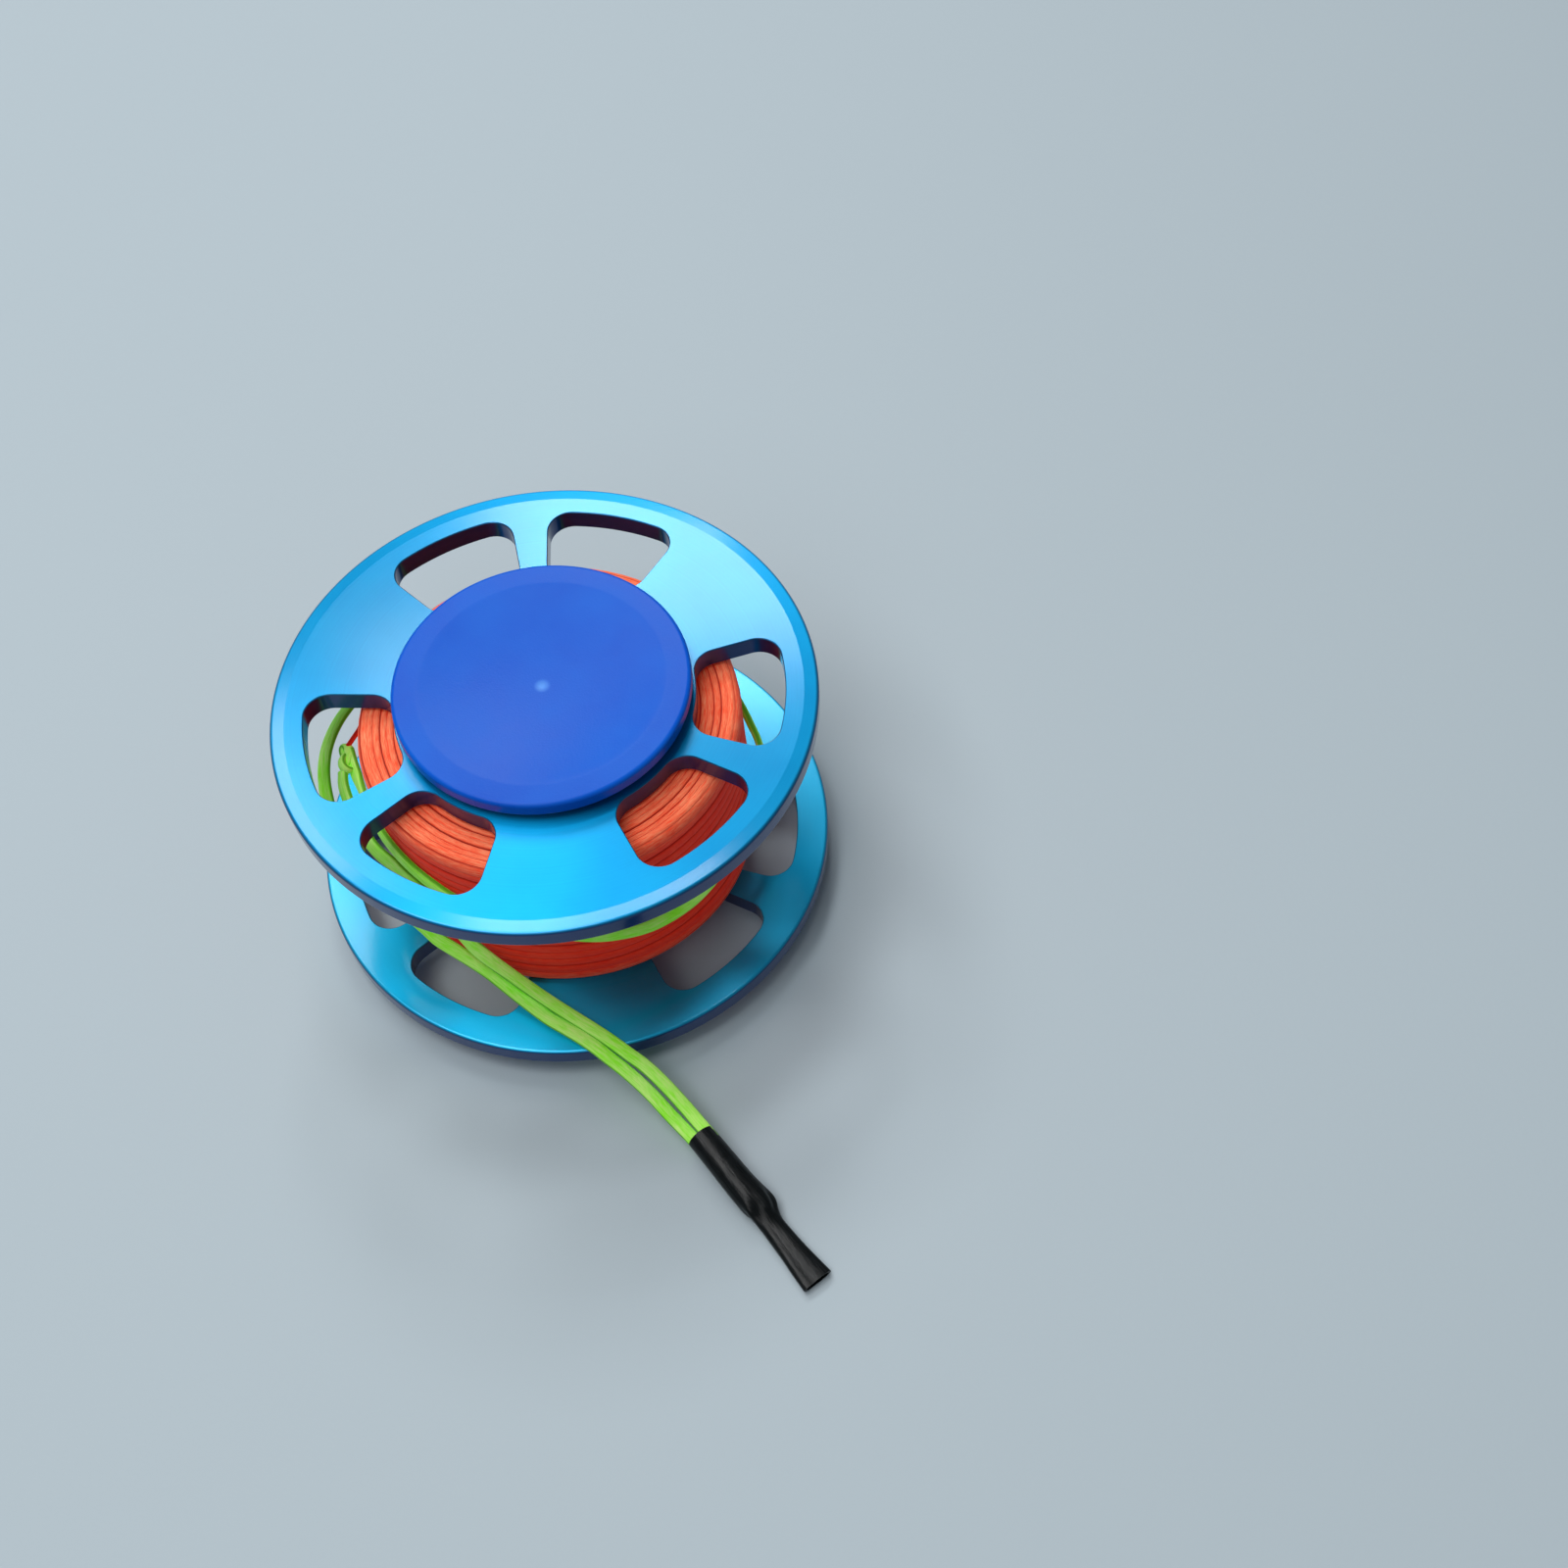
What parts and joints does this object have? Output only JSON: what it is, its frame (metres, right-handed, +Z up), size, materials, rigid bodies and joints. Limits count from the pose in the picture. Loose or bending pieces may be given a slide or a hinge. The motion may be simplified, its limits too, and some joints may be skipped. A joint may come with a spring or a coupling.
{
  "type": "finger spool",
  "caption": "Compact finger spool: windowed blue flanges, wound orange line with a doubled green leader, and a freely turning handle with dished discs.",
  "frame": {"origin": "centre of the face that the lower disc stands on, under the spool's axis", "axes": "+Z up along the spool's axis from the lower disc to the upper one, +X to the right in the picture and -Y towards the viewer"},
  "size_m": [0.0942, 0.1444, 0.0549],
  "materials": {
    "blue_aluminium": "anodised satin",
    "royal_blue_plastic": "moulded satin",
    "bearing_plastic": "machined",
    "stainless_steel": "turned",
    "brass": "turned",
    "orange_line": "braided",
    "green_cord": "flat woven",
    "black_shrink_tube": "satin"
  },
  "bodies": {
    "spool": {"upper_flange": "blue_aluminium", "lower_flange": "blue_aluminium", "hub_barrel": "blue_aluminium", "upper_screw_1": "stainless_steel", "upper_screw_2": "stainless_steel", "upper_screw_3": "stainless_steel", "lower_screw_1": "stainless_steel", "lower_screw_2": "stainless_steel", "lower_screw_3": "stainless_steel", "upper_bush": "bearing_plastic", "lower_bush": "bearing_plastic", "line_core": "orange_line", "line_outer_layer": "orange_line", "line_anchor_knot": "orange_line", "line_end": "orange_line", "leader_wrap": "green_cord", "leader_knot": "green_cord", "leader_strand_outer": "green_cord", "leader_strand_inner": "green_cord", "heat_shrink_sleeve": "black_shrink_tube"},
    "finger_handle": {"thumb_disc": "royal_blue_plastic", "finger_disc": "royal_blue_plastic", "upper_insert": "brass", "lower_insert": "brass", "spindle": "stainless_steel"}
  },
  "joints": [
    {"name": "handle_spin", "type": "hinge", "parent": "spool", "child": "finger_handle", "pos_m": [0, 0, 0.02745], "axis": [0, 0, 1], "continuous": true}
  ]
}
